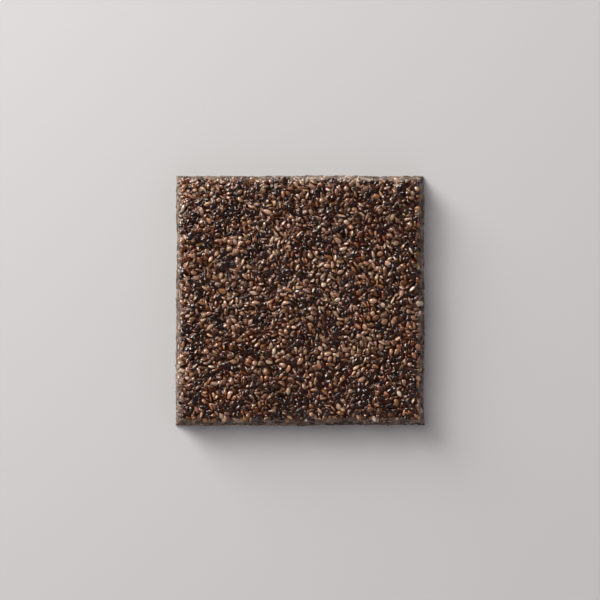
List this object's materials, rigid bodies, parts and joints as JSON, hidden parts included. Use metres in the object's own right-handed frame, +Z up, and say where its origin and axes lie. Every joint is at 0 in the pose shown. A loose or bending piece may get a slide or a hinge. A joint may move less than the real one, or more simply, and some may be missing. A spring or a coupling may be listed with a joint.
{
  "type": "sesame brittle slab",
  "caption": "Nearly square slab of sesame brittle: mixed dark and golden seeds pressed into caramel, with gently sloping cut sides and a flat underside.",
  "frame": {"origin": "centre of the slab's flat underside, on the surface it lies on", "axes": "+Z up through the slab's thickness; X and Y along its sides"},
  "size_m": [0.12, 0.1208, 0.012],
  "materials": {
    "sesame_brittle": "glossy seeds set in dark amber caramel, pebbled"
  },
  "bodies": {
    "root": {"brittle_slab": "sesame_brittle"}
  },
  "joints": []
}
